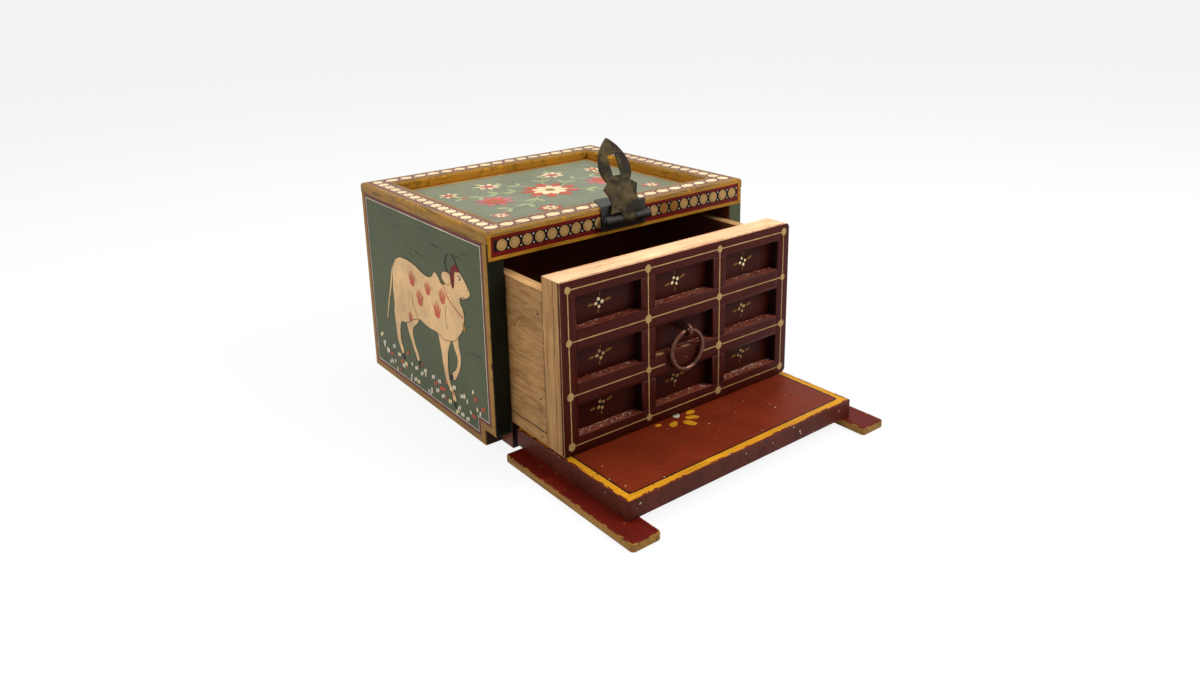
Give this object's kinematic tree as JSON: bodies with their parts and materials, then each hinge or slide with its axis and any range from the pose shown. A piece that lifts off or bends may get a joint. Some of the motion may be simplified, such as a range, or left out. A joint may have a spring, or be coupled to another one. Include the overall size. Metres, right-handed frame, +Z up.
{
  "type": "trinket box",
  "caption": "Painted wooden trinket box with a sunken framed top, a lattice-front drawer with a ring pull, an iron hasp and a loose front panel on slats laid before it.",
  "frame": {"origin": "middle of the box's underside, where it rests on the floor", "axes": "+X along the front to the right, +Y from the front to the back, +Z up"},
  "size_m": [0.2518, 0.3637, 0.2177],
  "materials": {
    "side_paint": "grey-green paint with a mustard border, worn",
    "inner_wood": "dark maroon wash",
    "rail_paint": "dark red and black paint with gold circles",
    "top_paint": "painted floral picture, worn",
    "strip_paint": "mustard paint with a beaded band, worn",
    "dark_iron": "dark bronze-brown patina",
    "drawer_wood": "raw, pale",
    "lattice_paint": "maroon paint with thin gold lines",
    "rusty_iron": "rusty brown",
    "panel_paint": "red-brown paint with a yellow border, worn",
    "slat_paint": "red-brown and mustard paint, worn"
  },
  "bodies": {
    "carcass": {"side_left": "side_paint", "side_right": "side_paint", "bottom_board": "inner_wood", "back_panel": "inner_wood", "front_rail": "rail_paint", "top_board": "top_paint", "top_strip_front": "strip_paint", "top_strip_right": "strip_paint", "top_strip_back": "strip_paint", "top_strip_left": "strip_paint", "hasp_fixed_leaf": "dark_iron", "hasp_hinge_pin": "dark_iron"},
    "hasp": {"hasp_strap": "dark_iron"},
    "drawer": {"drawer_front_board": "drawer_wood", "drawer_bottom": "drawer_wood", "drawer_side_left": "drawer_wood", "drawer_side_right": "drawer_wood", "drawer_back": "drawer_wood", "lattice_frame_bottom": "lattice_paint", "lattice_frame_top": "lattice_paint", "lattice_frame_left": "lattice_paint", "lattice_frame_right": "lattice_paint", "lattice_bar_lower": "lattice_paint", "lattice_bar_upper": "lattice_paint", "lattice_bar_left": "lattice_paint", "lattice_bar_right": "lattice_paint", "ring_staple": "rusty_iron"},
    "ring": {"pull_ring": "rusty_iron"},
    "front_panel": {"front_panel_board": "panel_paint", "front_slat_left": "slat_paint", "front_slat_right": "slat_paint", "panel_staple": "rusty_iron"}
  },
  "joints": [
    {"name": "drawer_slide", "type": "slide", "parent": "carcass", "child": "drawer", "axis": [0, -1, 0], "range_m": [-0.0889, 0.055]},
    {"name": "hasp_hinge", "type": "hinge", "parent": "carcass", "child": "hasp", "pos_m": [-0.0035, -0.1104, 0.1595], "axis": [1, 0, 0], "range_deg": [0, 118]},
    {"name": "ring_swing", "type": "hinge", "parent": "drawer", "child": "ring", "pos_m": [0, -0.1734, 0.08635], "axis": [-1, 0, 0], "range_deg": [0, 170]},
    {"name": "panel_lift_off", "type": "slide", "parent": "carcass", "child": "front_panel", "axis": [0, -1, 0], "range_m": [0, 0.12]}
  ]
}
